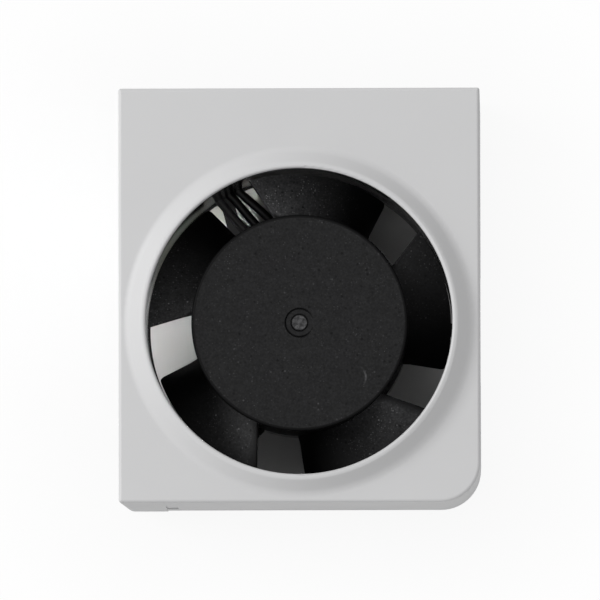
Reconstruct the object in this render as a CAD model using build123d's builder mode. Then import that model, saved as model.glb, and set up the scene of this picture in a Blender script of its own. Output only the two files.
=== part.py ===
from build123d import *
import os
from math import cos, radians, sin, tan

os.makedirs("parts", exist_ok=True)

# Bought-in compact fan: square frame, corner holes and air duct, all in millimetres
FAN_SIZE = 50.0
FAN_DEPTH = 20.0
FAN_CORNER = 4.0
FLANGE = 3.0
HOLE_INSET = 5.0
HOLE_RADIUS = 2.15
DUCT_INSET = 0.2
DUCT_WALL = 1.7
DUCT_MOUTH = 0.8

# Moulded housing round the fan
FAN_GAP = 0.3
SIDE_WALL = 1.7
FACE_WALL = 2.0
FOOT_HEIGHT = 2.5
FOOT_WIDTH = 6.7
REAR_RECESS = 2.0
WIRING_BAY = 8.0
SHARP_CORNER = 1.0
FACE_EDGE = 0.5

# Raised collar round the inlet
COLLAR_RISE = 2.2
COLLAR_SLOPE = 47.0
INLET_LIP = 0.2
LIP_INNER_ROUND = 0.4
LIP_HEIGHT = 1.4
LIP_UNDERCUT = 1.2
LIP_OUTER_ROUND = 0.8
COLLAR_LAND = 0.05

# Fan fixing inside the housing
BARB_REACH = 1.1
BARB_GAP = 0.05
BARB_WIDTH = 6.0
RELIEF_WIDTH = 16.0
RELIEF_HEIGHT = 6.5
BAY_RIB = 1.2
LATCH_WIDTH = 1.8
LATCH_LENGTH = 9.0
LATCH_DEPTH = 0.2
LATCH_SETBACK = 11.0

# Motor base, struts and bearing tube of the fan frame
HUB_RADIUS = 16.2
BASE_FLOOR = 1.6
BASE_RIM = 1.0
RIM_HEIGHT = 4.8
STRUT_COUNT = 3
STRUT_WIDTH = 2.0
STRUT_ANGLE = 105.0
STRUT_OFFSET = 5.8
STRUT_HEIGHT = 1.7
STRUT_OVERLAP = 0.6
TUBE_WALL = 1.0
TUBE_TOP_PAST = 0.3
POST_RADIUS = 1.2
POST_COUNT = 3
POST_ANGLE = 15.0

# Impeller hub and blades
RUNNING_GAP = 0.5
HUB_FRONT_SETBACK = 0.6
HUB_FRONT = 1.5
HUB_WALL = 1.2
HUB_EDGE = 0.3
BOSS_WALL = 0.8
BLADE_COUNT = 5
BLADE_THICKNESS = 1.0
BLADE_TIP_GAP = 0.5
BLADE_FRONT_SETBACK = 0.9
BLADE_REAR_SETBACK = 0.6
BLADE_CAMBER = 1.7
LEADING_HUB_ANGLE = 103.5
LEADING_TIP_ANGLE = 108.6
TRAILING_HUB_ANGLE = 52.2
TRAILING_TIP_ANGLE = 55.2
BLADE_ROOT_SINK = 0.6
GATE_OUTER = 2.2
GATE_INNER = 1.05
GATE_DEPTH = 0.5
MARK_RADIUS = 2.0
MARK_DEPTH = 0.1
MARK_OFFSET = 11.4
MARK_ANGLE = -45.7

# Rotor: yoke, magnet, shaft and retaining ring
YOKE_WALL = 0.8
YOKE_SETBACK = 0.7
MAGNET_SHARE = 0.1
MAGNET_SETBACK = 0.3
MAGNET_ROOF_GAP = 1.6
SHAFT_RADIUS = 1.5
SHAFT_REAR = 0.9
SHAFT_SINK = 0.4
CLIP_THICKNESS = 0.4
CLIP_RADIUS = 2.4
CLIP_GROOVE = 0.3
CLIP_PLAY = 0.05
CLIP_MOUTH = 1.9

# Ball bearings and preload washer
RACE_RADIUS = 4.0
RACE_WIDTH = 3.0
RING_OUTER_WALL = 0.8
RING_INNER_WALL = 0.75
SHIELD = 0.25
SHIELD_GAP = 0.15
REAR_SEAT = 2.5
BOSS_LENGTH = 2.4
WASHER_HEIGHT = 0.9
WASHER_THICKNESS = 0.3
WASHER_PLAY = 0.05
SHOULDER_BORE = 3.3

# Stator
AIR_GAP = 0.4
POLE_COUNT = 4
SHOE_SHARE = 0.075
POLE_SLOT = 3.0
POLE_NECK = 4.0
BACK_IRON = 1.6
INSULATOR = 0.9
INSULATOR_TRIM = 0.4
WINDING = 1.0
WINDING_GAP = 0.05
WINDING_END_GAP = 0.3
WINDING_BOARD_GAP = 1.2
WINDING_ROOF_GAP = 1.7

# Circuit board and what stands on it
BOARD_BOTTOM = 3.2
BOARD = 1.2
BOARD_EDGE_GAP = 0.7
BOARD_BORE_GAP = 0.2
HALL_WIDTH = 1.5
HALL_LENGTH = 2.9
HALL_HEIGHT = 1.1
HALL_ANGLE = 45.0
CHIP_WIDTH = 3.9
CHIP_LENGTH = 4.9
CHIP_HEIGHT = 1.4
CHIP_ANGLE = -30.0
CAPACITOR_WIDTH = 1.6
CAPACITOR_LENGTH = 3.2
CAPACITOR_HEIGHT = 1.3
CAPACITOR_ANGLE = 200.0

# Leads and plug
LEAD_RADIUS = 0.65
LEAD_HEIGHT = 2.5
LEAD_ANGLE = 135.0
LEAD_START = 9.5
LEAD_FIRST_OFFSET = 4.75
LEAD_SPREAD = 2.05
LEAD_PITCH = 1.35
LEAD_BEND = 3.0
LEAD_LOOP_HEIGHT = 9.3
LEAD_GRIP = 2.5
LEAD_ROOM = 0.4
LOOP_EASE = 0.05
BAY_WAY = 12.5
PLUG_PITCH = 2.5
PLUG_END = 2.4
PLUG_DEPTH = 5.3
PLUG_HEIGHT = 8.0
PLUG_BOTTOM = 0.5
PLUG_LEAD_GAP = 1.0
PLUG_GAP = 0.15
PLUG_CHEEK = 1.2
PLUG_LIP = 0.6
PLUG_EDGE = 0.4
CAVITY = 1.7
CAVITY_DEPTH = 5.0
CONTACT = 1.5
CONTACT_LENGTH = 4.4
CONTACT_WALL = 0.3

# Heights above the floor and places that follow from the sizes above
skirt_rear = FOOT_HEIGHT
fan_rear = skirt_rear + REAR_RECESS
fan_front = fan_rear + FAN_DEPTH
face_z = fan_front + FACE_WALL
case_width = FAN_SIZE + 2 * (FAN_GAP + SIDE_WALL)
case_length = case_width + WIRING_BAY
case_corner = FAN_CORNER + FAN_GAP + SIDE_WALL
fan_y = (case_width - case_length) / 2
fan_axis = Axis((0, fan_y, 0), (0, 0, 1))
half_fan = FAN_SIZE / 2
hole_spacing = FAN_SIZE - 2 * HOLE_INSET
bore_radius = half_fan - DUCT_INSET - DUCT_WALL
inlet_radius = bore_radius - INLET_LIP
seat_radius = RACE_RADIUS
tube_radius = seat_radius + TUBE_WALL
core_radius = tube_radius + BACK_IRON
hub_rear = RIM_HEIGHT + RUNNING_GAP
hub_front = FAN_DEPTH - HUB_FRONT_SETBACK
hub_roof = hub_front - HUB_FRONT
yoke_outer = HUB_RADIUS - HUB_WALL
yoke_inner = yoke_outer - YOKE_WALL
magnet_inner = yoke_inner - MAGNET_SHARE * HUB_RADIUS
magnet_length = hub_roof - hub_rear - YOKE_WALL - YOKE_SETBACK - MAGNET_SETBACK - MAGNET_ROOF_GAP
stator_radius = magnet_inner - AIR_GAP
boss_radius = SHAFT_RADIUS + BOSS_WALL
boss_rear = hub_roof - BOSS_LENGTH
front_seat = boss_rear - RACE_WIDTH
pole_shoe = SHOE_SHARE * HUB_RADIUS
stack_bottom = BOARD_BOTTOM + BOARD + WINDING_BOARD_GAP + WINDING + INSULATOR
stack = hub_roof - YOKE_WALL - WINDING_ROOF_GAP - WINDING - INSULATOR - stack_bottom
board_radius = HUB_RADIUS - BASE_RIM - BOARD_EDGE_GAP
post_ring = board_radius - POST_RADIUS
parts_ring = (board_radius + tube_radius) / 2
bay_rib_y = half_fan + FAN_GAP
plug_y = bay_rib_y + BAY_RIB + PLUG_GAP + PLUG_DEPTH / 2
plug_width = 2 * (PLUG_PITCH + PLUG_END)
plug_top = PLUG_BOTTOM + PLUG_HEIGHT
lead_offsets = (
    LEAD_FIRST_OFFSET,
    LEAD_FIRST_OFFSET + LEAD_SPREAD,
    LEAD_FIRST_OFFSET + LEAD_SPREAD + LEAD_PITCH,
)
bundle_width = LEAD_SPREAD + LEAD_PITCH + 2 * (LEAD_RADIUS + LEAD_ROOM)
bundle_offset = LEAD_FIRST_OFFSET + (LEAD_SPREAD + LEAD_PITCH) / 2
gate_height = LEAD_HEIGHT + LEAD_RADIUS + LEAD_ROOM


# A level plane on the fan axis, at a height above the rear of the fan
def level(height):
    return Plane(origin=(0, fan_y, fan_rear + height))


# An upright plane through the fan axis, for profiles that are turned about it
def profile(height):
    return Plane(origin=(0, fan_y, fan_rear + height), x_dir=(1, 0, 0), z_dir=(0, -1, 0))


# A point of a lead or strut: so far along its direction from the fan axis and so far to its right
def beside(along, offset, direction=LEAD_ANGLE):
    angle = radians(direction)
    return (along * cos(angle) + offset * sin(angle), along * sin(angle) - offset * cos(angle))


# Where a lead run crosses a line that lies so far above the fan axis
def crossing(height, offset):
    angle = radians(LEAD_ANGLE)
    return beside((height + offset * cos(angle)) / sin(angle), offset)


plug_edge = crossing(plug_y - PLUG_DEPTH / 2, lead_offsets[2] + LEAD_RADIUS)[0] + PLUG_LEAD_GAP
plug_x = plug_edge + plug_width / 2


# The outline of the housing, drawn in from the outside by an inset
def case_outline(inset, sharp):
    with BuildSketch() as outline:
        Rectangle(case_width - 2 * inset, case_length - 2 * inset)
        corners = outline.vertices().sort_by(lambda corner: corner.X - corner.Y)
        if sharp > 0:
            fillet(corners[:3], sharp)
        corners = outline.vertices().sort_by(lambda corner: corner.X - corner.Y)
        fillet(corners[-1], case_corner - inset)
    return outline.sketch


# Housing: a moulded box, open at the back, that the fan is pushed into from behind
with BuildPart() as housing:
    with BuildSketch(Plane.XY.offset(skirt_rear)):
        add(case_outline(0, SHARP_CORNER))
    extrude(amount=face_z - skirt_rear)
    fillet(housing.faces().sort_by(Axis.Z)[-1].edges(), FACE_EDGE)
    with BuildSketch(Plane.XY.offset(skirt_rear)):
        add(case_outline(SIDE_WALL, 0))
    extrude(amount=fan_front - skirt_rear, mode=Mode.SUBTRACT)

    # Inlet hole and the raised collar round it
    lip_radius = inlet_radius + LIP_INNER_ROUND
    collar_radius = case_width / 2 - FACE_EDGE - COLLAR_LAND
    slope = radians(COLLAR_SLOPE)
    collar_run = collar_radius - lip_radius
    collar_blend = (collar_run - COLLAR_RISE / tan(slope)) / tan(slope / 2) - LIP_OUTER_ROUND
    collar_top = FAN_DEPTH + FACE_WALL + COLLAR_RISE
    with BuildSketch(level(FAN_DEPTH)):
        Circle((inlet_radius + collar_radius) / 2)
    extrude(amount=FACE_WALL, mode=Mode.SUBTRACT)
    with BuildSketch(profile(0)):
        with BuildLine():
            inner_wall = Polyline(
                (inlet_radius + LIP_UNDERCUT, FAN_DEPTH),
                (inlet_radius, collar_top - LIP_HEIGHT),
                (inlet_radius, collar_top - LIP_INNER_ROUND),
            )
            inner_lip = RadiusArc(inner_wall @ 1, (lip_radius, collar_top), LIP_INNER_ROUND)
            slope_start = (
                lip_radius + LIP_OUTER_ROUND * sin(slope),
                collar_top - LIP_OUTER_ROUND * (1 - cos(slope)),
            )
            slope_end = (
                collar_radius - collar_blend * sin(slope),
                FAN_DEPTH + FACE_WALL + collar_blend * (1 - cos(slope)),
            )
            RadiusArc(inner_lip @ 1, slope_start, LIP_OUTER_ROUND)
            Line(slope_start, slope_end)
            blend = RadiusArc(slope_end, (collar_radius, FAN_DEPTH + FACE_WALL), -collar_blend)
            outer_wall = Line(blend @ 1, (collar_radius, FAN_DEPTH))
            Line(outer_wall @ 1, inner_wall @ 0)
        make_face()
    revolve(axis=fan_axis)

    # Feet: three corners and one place on the right wall reach down to the floor
    with BuildSketch(Plane.XY):
        left_x = (FOOT_WIDTH - case_width) / 2
        low_y = (FOOT_WIDTH - case_length) / 2
        raised_y = low_y + case_corner + FACE_EDGE
        with Locations((left_x, low_y), (left_x, -low_y), (-left_x, -low_y), (-left_x, raised_y)):
            Rectangle(FOOT_WIDTH, FOOT_WIDTH)
        add(case_outline(0, SHARP_CORNER), mode=Mode.INTERSECT)
        add(case_outline(SIDE_WALL, 0), mode=Mode.SUBTRACT)
    extrude(amount=FOOT_HEIGHT)

    # Air reliefs in the rear edges of the left and right walls
    with BuildSketch(Plane(origin=(0, fan_y, skirt_rear))):
        Rectangle(case_width, RELIEF_WIDTH)
    extrude(amount=RELIEF_HEIGHT, mode=Mode.SUBTRACT)

    # Rib between the fan and the wiring bay, from the plug to the right wall
    plug_left = plug_x - plug_width / 2 - PLUG_GAP
    plug_right = plug_x + plug_width / 2 + PLUG_GAP
    with BuildSketch(level(-REAR_RECESS)):
        rib_left = plug_left - PLUG_CHEEK
        rib_length = case_width / 2 - SIDE_WALL / 2 - rib_left
        with Locations((rib_left + rib_length / 2, bay_rib_y + BAY_RIB / 2)):
            Rectangle(rib_length, BAY_RIB)
    extrude(amount=FAN_DEPTH + REAR_RECESS)

    # Cheeks at both ends of the plug, each with a lip over its top
    bay_end = case_length / 2 - fan_y - SIDE_WALL / 2
    cheek_length = bay_end - bay_rib_y
    with BuildSketch(level(PLUG_BOTTOM)):
        with Locations(
            (plug_left - PLUG_CHEEK / 2, bay_rib_y + cheek_length / 2),
            (plug_right + PLUG_CHEEK / 2, bay_rib_y + cheek_length / 2),
        ):
            Rectangle(PLUG_CHEEK, cheek_length)
    extrude(amount=PLUG_HEIGHT + PLUG_LIP)
    with BuildSketch(level(plug_top)):
        with Locations(
            (plug_left + PLUG_LIP / 2, bay_rib_y + cheek_length / 2),
            (plug_right - PLUG_LIP / 2, bay_rib_y + cheek_length / 2),
        ):
            Rectangle(PLUG_LIP, cheek_length)
    extrude(amount=PLUG_LIP)

    # Way through the rib and the left cheek for the leads
    with BuildSketch(level(-REAR_RECESS)):
        with Locations(beside(half_fan + BAY_WAY / 2, bundle_offset)):
            Rectangle(BAY_WAY, bundle_width, rotation=LEAD_ANGLE)
    extrude(amount=REAR_RECESS + gate_height, mode=Mode.SUBTRACT)

    # Latch pocket in the bottom wall, beside the left foot
    with BuildSketch(Plane.XY.offset(face_z - LATCH_SETBACK)):
        latch_x = FOOT_WIDTH + LATCH_WIDTH / 2 - case_width / 2
        with Locations((latch_x, (LATCH_DEPTH - case_length) / 2)):
            Rectangle(LATCH_WIDTH, LATCH_DEPTH)
    extrude(amount=-LATCH_LENGTH, mode=Mode.SUBTRACT)

    # Barbs on the side walls that hook under the rear flange
    barb_y = RELIEF_WIDTH / 2 + BARB_WIDTH / 2 + BARB_GAP
    wall_x = half_fan + FAN_GAP
    for side in (-1, 1):
        for end in (-1, 1):
            start = fan_y + end * barb_y - BARB_WIDTH / 2
            with BuildSketch(Plane(origin=(0, start, fan_rear), x_dir=(1, 0, 0), z_dir=(0, -1, 0))):
                with BuildLine():
                    Polyline(
                        (side * (wall_x + SIDE_WALL / 2), -BARB_GAP),
                        (side * (wall_x - BARB_REACH), -BARB_GAP),
                        (side * wall_x, -REAR_RECESS),
                        (side * (wall_x + SIDE_WALL / 2), -REAR_RECESS),
                        close=True,
                    )
                make_face()
            extrude(amount=-BARB_WIDTH)
housing.part.label = "housing"
export_step(housing.part, "parts/housing.step")

# Fan frame: two square flanges joined by the duct, with the motor base held by struts
with BuildPart() as fan_frame:
    with BuildSketch(level(0), level(FAN_DEPTH - FLANGE)):
        RectangleRounded(FAN_SIZE, FAN_SIZE, FAN_CORNER)
    extrude(amount=FLANGE)
    with BuildSketch(level(0)):
        Circle(half_fan - DUCT_INSET)
    extrude(amount=FAN_DEPTH)
    with BuildSketch(level(0)):
        Circle(bore_radius)
        with GridLocations(hole_spacing, hole_spacing, 2, 2):
            Circle(HOLE_RADIUS)
    extrude(amount=FAN_DEPTH, mode=Mode.SUBTRACT)
    mouth = fan_frame.edges().filter_by(GeomType.CIRCLE).group_by(Axis.Z)[-1]
    chamfer(mouth.sort_by(SortBy.RADIUS)[-1], DUCT_MOUTH)

    # Motor base with its rim, and the struts that carry it
    with BuildSketch(level(0)):
        Circle(HUB_RADIUS)
    extrude(amount=RIM_HEIGHT)
    with BuildSketch(level(BASE_FLOOR)):
        Circle(HUB_RADIUS - BASE_RIM)
    extrude(amount=RIM_HEIGHT - BASE_FLOOR, mode=Mode.SUBTRACT)
    strut_inner = ((HUB_RADIUS - STRUT_OVERLAP) ** 2 - STRUT_OFFSET**2) ** 0.5 - STRUT_OVERLAP
    strut_outer = ((bore_radius + DUCT_WALL / 2) ** 2 - STRUT_OFFSET**2) ** 0.5 - STRUT_OVERLAP / 2
    strut_centre = Vector(*beside((strut_inner + strut_outer) / 2, -STRUT_OFFSET, STRUT_ANGLE))
    with BuildSketch(level(0)):
        for strut in range(STRUT_COUNT):
            turn = strut * 360 / STRUT_COUNT
            with Locations(strut_centre.rotate(Axis.Z, turn)):
                Rectangle(strut_outer - strut_inner, STRUT_WIDTH, rotation=STRUT_ANGLE + turn)
    extrude(amount=STRUT_HEIGHT)

    # Bearing tube, with a shoulder between the two bearing seats
    with BuildSketch(level(0)):
        Circle(tube_radius)
    extrude(amount=boss_rear + TUBE_TOP_PAST)
    with BuildSketch(level(0)):
        Circle(seat_radius)
    extrude(amount=REAR_SEAT + RACE_WIDTH, mode=Mode.SUBTRACT)
    with BuildSketch(level(0)):
        Circle(SHOULDER_BORE)
    extrude(amount=FAN_DEPTH, mode=Mode.SUBTRACT)
    with BuildSketch(level(front_seat - WASHER_HEIGHT)):
        Circle(seat_radius)
    extrude(amount=FAN_DEPTH, mode=Mode.SUBTRACT)

    # Posts under the circuit board
    with BuildSketch(level(0)):
        with PolarLocations(post_ring, POST_COUNT, POST_ANGLE):
            Circle(POST_RADIUS)
    extrude(amount=BOARD_BOTTOM)

    # Way out for the leads: a gate in the rim and a notch through the duct and rear flange
    with BuildSketch(level(STRUT_HEIGHT)):
        with Locations(beside(HUB_RADIUS, bundle_offset)):
            Rectangle(HUB_RADIUS, bundle_width, rotation=LEAD_ANGLE)
        Circle(core_radius, mode=Mode.SUBTRACT)
        Circle(HUB_RADIUS, mode=Mode.INTERSECT)
    extrude(amount=RIM_HEIGHT, mode=Mode.SUBTRACT)
    with BuildSketch(level(STRUT_HEIGHT)):
        with Locations(beside(HUB_RADIUS + half_fan / 2, bundle_offset)):
            Rectangle(half_fan, bundle_width, rotation=LEAD_ANGLE)
    extrude(amount=gate_height - STRUT_HEIGHT, mode=Mode.SUBTRACT)
fan_frame.part.label = "fan_frame"
export_step(fan_frame.part, "parts/fan_frame.step")

# One blade: two cambered sections joined by straight lines, then trimmed by the hub and the tip circle
tip_radius = bore_radius - BLADE_TIP_GAP
root_radius = HUB_RADIUS - BLADE_ROOT_SINK
blade_middle = (LEADING_HUB_ANGLE + TRAILING_HUB_ANGLE) / 2
blade_front = FAN_DEPTH - HUB_FRONT_SETBACK - BLADE_FRONT_SETBACK
blade_rear = hub_rear + BLADE_REAR_SETBACK


# Where an edge of the blade, straight from hub to tip, stands at a distance from the axis
def blade_edge(distance, hub_angle, tip_angle):
    hub = radians(hub_angle - blade_middle)
    tip = radians(tip_angle - blade_middle)
    run = tip_radius * cos(tip) - HUB_RADIUS * cos(hub)
    rise = tip_radius * sin(tip) - HUB_RADIUS * sin(hub)
    return HUB_RADIUS * sin(hub) + (distance - HUB_RADIUS * cos(hub)) * rise / run


with BuildPart() as blade:
    section_near = HUB_RADIUS * cos(radians(LEADING_HUB_ANGLE - blade_middle)) - BLADE_ROOT_SINK
    section_far = tip_radius + BLADE_THICKNESS
    for distance in (section_near, section_far):
        leading = blade_edge(distance, LEADING_HUB_ANGLE, LEADING_TIP_ANGLE) - BLADE_THICKNESS / 2
        trailing = blade_edge(distance, TRAILING_HUB_ANGLE, TRAILING_TIP_ANGLE) + BLADE_THICKNESS / 2
        middle = (leading + trailing) / 2
        height = (blade_front + blade_rear) / 2
        with BuildSketch(Plane(origin=(distance, 0, 0), x_dir=(0, 1, 0), z_dir=(1, 0, 0))):
            with BuildLine():
                ThreePointArc(
                    (trailing, blade_rear + BLADE_THICKNESS / 2),
                    (middle - BLADE_CAMBER / 2, height + BLADE_CAMBER),
                    (leading, blade_front - BLADE_THICKNESS / 2),
                )
                offset(amount=BLADE_THICKNESS / 2, side=Side.BOTH, mode=Mode.REPLACE)
            make_face()
    loft(ruled=True)
    with BuildSketch(Plane.XY):
        Circle(tip_radius)
        Circle(root_radius, mode=Mode.SUBTRACT)
    extrude(amount=FAN_DEPTH, mode=Mode.INTERSECT)

# Impeller: hub cup with its boss and blades, moulded in one
with BuildPart(level(0)) as impeller:
    with BuildSketch(level(hub_rear)):
        Circle(HUB_RADIUS)
    extrude(amount=hub_front - hub_rear)
    fillet(impeller.edges().group_by(Axis.Z)[-1], HUB_EDGE)
    with BuildSketch(level(hub_rear)):
        Circle(yoke_outer)
    extrude(amount=hub_roof - hub_rear, mode=Mode.SUBTRACT)
    with PolarLocations(0, BLADE_COUNT, blade_middle):
        add(blade.part)
    with BuildSketch(level(boss_rear)):
        Circle(boss_radius)
    extrude(amount=hub_roof - boss_rear)
    with BuildSketch(level(boss_rear)):
        Circle(SHAFT_RADIUS)
    extrude(amount=hub_roof + SHAFT_SINK - boss_rear, mode=Mode.SUBTRACT)
    with BuildSketch(level(hub_front)):
        Circle(GATE_OUTER)
        Circle(GATE_INNER, mode=Mode.SUBTRACT)
    extrude(amount=-GATE_DEPTH, mode=Mode.SUBTRACT)
    with BuildSketch(level(hub_front)):
        with PolarLocations(MARK_OFFSET, 1, MARK_ANGLE):
            Circle(MARK_RADIUS)
    extrude(amount=-MARK_DEPTH, mode=Mode.SUBTRACT)
impeller.part.label = "impeller"
export_step(impeller.part, "parts/impeller.step")

# Rotor yoke: a pressed steel cup inside the hub
with BuildPart() as rotor_yoke:
    with BuildSketch(level(hub_rear + YOKE_SETBACK)):
        Circle(yoke_outer)
    extrude(amount=hub_roof - hub_rear - YOKE_SETBACK)
    with BuildSketch(level(hub_rear + YOKE_SETBACK)):
        Circle(yoke_inner)
    extrude(amount=hub_roof - hub_rear - YOKE_SETBACK - YOKE_WALL, mode=Mode.SUBTRACT)
    with BuildSketch(level(hub_roof)):
        Circle(boss_radius)
    extrude(amount=-YOKE_WALL, mode=Mode.SUBTRACT)
rotor_yoke.part.label = "rotor_yoke"
export_step(rotor_yoke.part, "parts/rotor_yoke.step")

# Rotor magnet: a ring bonded inside the yoke
with BuildPart() as rotor_magnet:
    with BuildSketch(level(hub_rear + YOKE_SETBACK + MAGNET_SETBACK)):
        Circle(yoke_inner)
        Circle(magnet_inner, mode=Mode.SUBTRACT)
    extrude(amount=magnet_length)
rotor_magnet.part.label = "rotor_magnet"
export_step(rotor_magnet.part, "parts/rotor_magnet.step")

# Shaft: ground steel, with a groove for the retaining ring behind the rear bearing
clip_top = REAR_SEAT - CLIP_PLAY
with BuildPart() as shaft:
    with BuildSketch(level(SHAFT_REAR)):
        Circle(SHAFT_RADIUS)
    extrude(amount=hub_roof + SHAFT_SINK - SHAFT_REAR)
    with BuildSketch(level(clip_top)):
        Circle(SHAFT_RADIUS)
        Circle(SHAFT_RADIUS - CLIP_GROOVE, mode=Mode.SUBTRACT)
    extrude(amount=-CLIP_THICKNESS, mode=Mode.SUBTRACT)
shaft.part.label = "shaft"
export_step(shaft.part, "parts/shaft.step")

# Retaining ring: an open ring snapped into the shaft groove
with BuildPart() as retaining_ring:
    with BuildSketch(level(clip_top)):
        Circle(CLIP_RADIUS)
        Circle(SHAFT_RADIUS - CLIP_GROOVE, mode=Mode.SUBTRACT)
        with Locations((CLIP_RADIUS / 2, 0)):
            Rectangle(CLIP_RADIUS, CLIP_MOUTH, mode=Mode.SUBTRACT)
    extrude(amount=-CLIP_THICKNESS)
retaining_ring.part.label = "retaining_ring"
export_step(retaining_ring.part, "parts/retaining_ring.step")

# Ball bearings: an outer ring with its two shields, and an inner ring on the shaft
for place, bottom in (("front", front_seat), ("rear", REAR_SEAT)):
    race = RACE_RADIUS - RING_OUTER_WALL
    shield_bore = SHAFT_RADIUS + RING_INNER_WALL + SHIELD_GAP
    with BuildPart() as outer_ring:
        with BuildSketch(profile(bottom)):
            with BuildLine():
                Polyline(
                    (RACE_RADIUS, 0),
                    (RACE_RADIUS, RACE_WIDTH),
                    (shield_bore, RACE_WIDTH),
                    (shield_bore, RACE_WIDTH - SHIELD),
                    (race, RACE_WIDTH - SHIELD),
                    (race, SHIELD),
                    (shield_bore, SHIELD),
                    (shield_bore, 0),
                    close=True,
                )
            make_face()
        revolve(axis=fan_axis)
    outer_ring.part.label = place + "_bearing_outer_ring"
    export_step(outer_ring.part, "parts/" + place + "_bearing_outer_ring.step")
    with BuildPart() as inner_ring:
        with BuildSketch(level(bottom)):
            Circle(SHAFT_RADIUS + RING_INNER_WALL)
            Circle(SHAFT_RADIUS, mode=Mode.SUBTRACT)
        extrude(amount=RACE_WIDTH)
    inner_ring.part.label = place + "_bearing_inner_ring"
    export_step(inner_ring.part, "parts/" + place + "_bearing_inner_ring.step")

# Preload washer: a conical spring between the tube shoulder and the front bearing
with BuildPart() as preload_washer:
    with BuildSketch(profile(front_seat - WASHER_HEIGHT)):
        with BuildLine():
            Polyline(
                (SHOULDER_BORE + WASHER_PLAY, 0),
                (seat_radius - WASHER_PLAY, WASHER_HEIGHT - WASHER_THICKNESS),
                (seat_radius - WASHER_PLAY, WASHER_HEIGHT),
                (SHOULDER_BORE + WASHER_PLAY, WASHER_THICKNESS),
                close=True,
            )
        make_face()
    revolve(axis=fan_axis)
preload_washer.part.label = "preload_washer"
export_step(preload_washer.part, "parts/preload_washer.step")

# Stator core: a stack of laminations with four poles, pressed on the bearing tube
neck_reach = stator_radius - pole_shoe / 2
with BuildPart() as stator_core:
    with BuildSketch(level(stack_bottom)):
        Circle(stator_radius)
        Circle(stator_radius - pole_shoe, mode=Mode.SUBTRACT)
        with PolarLocations(stator_radius - pole_shoe / 2, POLE_COUNT, 180 / POLE_COUNT):
            Rectangle(2 * pole_shoe, POLE_SLOT, mode=Mode.SUBTRACT)
        Circle(core_radius)
        with PolarLocations(neck_reach / 2, POLE_COUNT):
            Rectangle(neck_reach, POLE_NECK)
        Circle(tube_radius, mode=Mode.SUBTRACT)
    extrude(amount=stack)
stator_core.part.label = "stator_core"
export_step(stator_core.part, "parts/stator_core.step")

# Insulators: moulded plates over both ends of the core
insulator_reach = stator_radius - INSULATOR_TRIM
for place, bottom in (("front", stack_bottom + stack), ("rear", stack_bottom - INSULATOR)):
    with BuildPart() as insulator:
        with BuildSketch(level(bottom)):
            Circle(core_radius)
            with PolarLocations(insulator_reach / 2, POLE_COUNT):
                Rectangle(insulator_reach, POLE_NECK)
            Circle(tube_radius, mode=Mode.SUBTRACT)
        extrude(amount=INSULATOR)
    insulator.part.label = place + "_insulator"
    export_step(insulator.part, "parts/" + place + "_insulator.step")

# Stator windings: one coil round the neck of each pole
winding_start = core_radius + WINDING_END_GAP
shoe_inner = ((stator_radius - pole_shoe) ** 2 - (POLE_NECK / 2 + WINDING) ** 2) ** 0.5
winding_length = shoe_inner - WINDING_END_GAP - winding_start
wound_height = stack + 2 * INSULATOR
with BuildPart() as stator_windings:
    for pole in range(POLE_COUNT):
        turn = radians(pole * 360 / POLE_COUNT)
        out = (cos(turn), sin(turn), 0)
        middle = fan_rear + stack_bottom + stack / 2
        root = (winding_start * cos(turn), fan_y + winding_start * sin(turn), middle)
        with BuildSketch(Plane(origin=root, x_dir=(-sin(turn), cos(turn), 0), z_dir=out)):
            RectangleRounded(POLE_NECK + 2 * WINDING, wound_height + 2 * WINDING, WINDING)
            Rectangle(POLE_NECK + 2 * WINDING_GAP, wound_height + 2 * WINDING_GAP, mode=Mode.SUBTRACT)
        extrude(amount=winding_length)
stator_windings.part.label = "stator_windings"
export_step(stator_windings.part, "parts/stator_windings.step")

# Circuit board: a ring of laminate on the posts of the motor base
with BuildPart() as circuit_board:
    with BuildSketch(level(BOARD_BOTTOM)):
        Circle(board_radius)
        Circle(tube_radius + BOARD_BORE_GAP, mode=Mode.SUBTRACT)
    extrude(amount=BOARD)
circuit_board.part.label = "circuit_board"
export_step(circuit_board.part, "parts/circuit_board.step")

# Hall sensor: on the front of the board, under the rim of the magnet
with BuildPart() as hall_sensor:
    with BuildSketch(level(BOARD_BOTTOM + BOARD)):
        with PolarLocations(magnet_inner, 1, HALL_ANGLE):
            Rectangle(HALL_WIDTH, HALL_LENGTH)
    extrude(amount=HALL_HEIGHT)
hall_sensor.part.label = "hall_sensor"
export_step(hall_sensor.part, "parts/hall_sensor.step")

# Drive chip and capacitor: on the rear of the board
with BuildPart() as drive_chip:
    with BuildSketch(level(BOARD_BOTTOM)):
        with PolarLocations(parts_ring, 1, CHIP_ANGLE):
            Rectangle(CHIP_WIDTH, CHIP_LENGTH)
    extrude(amount=-CHIP_HEIGHT)
drive_chip.part.label = "drive_chip"
export_step(drive_chip.part, "parts/drive_chip.step")

with BuildPart() as capacitor:
    with BuildSketch(level(BOARD_BOTTOM)):
        with PolarLocations(parts_ring, 1, CAPACITOR_ANGLE):
            Rectangle(CAPACITOR_WIDTH, CAPACITOR_LENGTH)
    extrude(amount=-CAPACITOR_HEIGHT)
capacitor.part.label = "capacitor"
export_step(capacitor.part, "parts/capacitor.step")

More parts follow.
